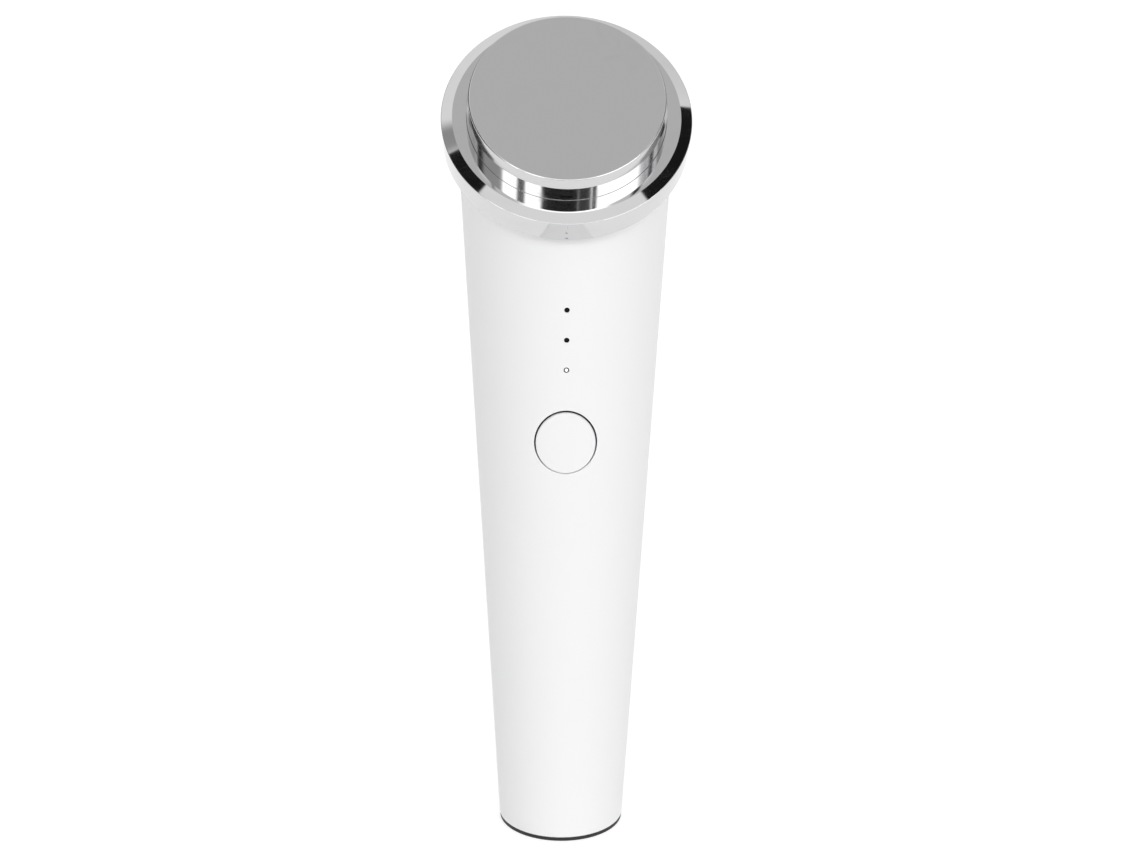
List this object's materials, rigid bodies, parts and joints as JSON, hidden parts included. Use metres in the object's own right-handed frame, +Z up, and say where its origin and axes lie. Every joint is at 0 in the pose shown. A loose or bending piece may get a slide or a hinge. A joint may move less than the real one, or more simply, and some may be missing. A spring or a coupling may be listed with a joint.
{
  "type": "skin scrubber",
  "caption": "Hand-held ultrasonic skin scrubber: tapered white handle, oval power button, three status lights and a tilted round polished head in a bright ring.",
  "frame": {"origin": "centre of the resting face, on the underside of the foot pad, on the handle's axis", "axes": "+Z up the handle's axis, -Y towards the button side and the way the treatment face leans, +X to the right of someone facing the button"},
  "size_m": [0.049, 0.0479, 0.1733],
  "materials": {
    "white_shell": "smooth satin-gloss white ABS",
    "bright_plating": "mirror-bright plating",
    "polished_steel": "finely polished",
    "dark_plastic": "matte black",
    "dark_rubber": "matte dark grey",
    "socket_steel": "stamped steel",
    "screw_steel": "zinc-plated",
    "board_green": "solder mask",
    "frame_plastic": "natural moulded plastic",
    "cell_wrap": "shrink wrap",
    "nickel": "nickel strip",
    "foam": "closed-cell foam",
    "wire_red": "silicone-insulated",
    "wire_black": "silicone-insulated",
    "wire_yellow": "silicone-insulated",
    "chip_black": "moulded",
    "ferrite": "sintered",
    "capacitor_tan": "fired",
    "lamp_white": "clear-domed lamp",
    "light_pipe_lit": "frosted clear, lit white",
    "light_pipe_dark": "smoky clear, unlit",
    "switch_plunger": "moulded",
    "silicone": "matte",
    "piezo_ceramic": "fired, silvered"
  },
  "bodies": {
    "root": {"handle_sleeve": "white_shell", "base_cap": "dark_plastic", "base_screws": "screw_steel", "foot_pad": "dark_rubber", "charging_socket_shell": "socket_steel", "charging_socket_tongue": "dark_plastic", "charging_board": "board_green", "charging_wires": "wire_yellow", "inner_frame": "frame_plastic", "battery_cell": "cell_wrap", "battery_tabs": "nickel", "battery_foam": "foam", "battery_wire_red": "wire_red", "battery_wire_black": "wire_black", "control_board": "board_green", "board_screws": "screw_steel", "control_chip": "chip_black", "driver_inductor": "ferrite", "board_capacitors": "capacitor_tan", "indicator_leds": "lamp_white", "light_baffle": "dark_plastic", "light_guide_low": "light_pipe_lit", "light_guide_mid": "light_pipe_dark", "light_guide_high": "light_pipe_dark", "switch_body": "chip_black", "head_ring": "bright_plating", "treatment_plate": "polished_steel", "plate_gasket": "silicone", "piezo_disc": "piezo_ceramic", "piezo_damper": "silicone", "head_carrier": "frame_plastic", "carrier_screws": "screw_steel", "collar_seal": "silicone", "transducer_wires": "wire_red"},
    "button": {"power_button": "white_shell"},
    "plunger": {"switch_plunger": "switch_plunger"}
  },
  "joints": [
    {"name": "button_press", "type": "slide", "parent": "root", "child": "button", "axis": [0, 0.9984, 0.0559], "range_m": [0, 0.0005], "stiffness_N_per_m": 1600, "springref_m": -0.0002},
    {"name": "plunger_travel", "type": "slide", "parent": "root", "child": "plunger", "axis": [0, 0.9984, 0.0559], "range_m": [0, 0.0005]}
  ],
  "couplings": [
    {"joint": "plunger_travel", "follows": "button_press", "ratio": 1}
  ]
}
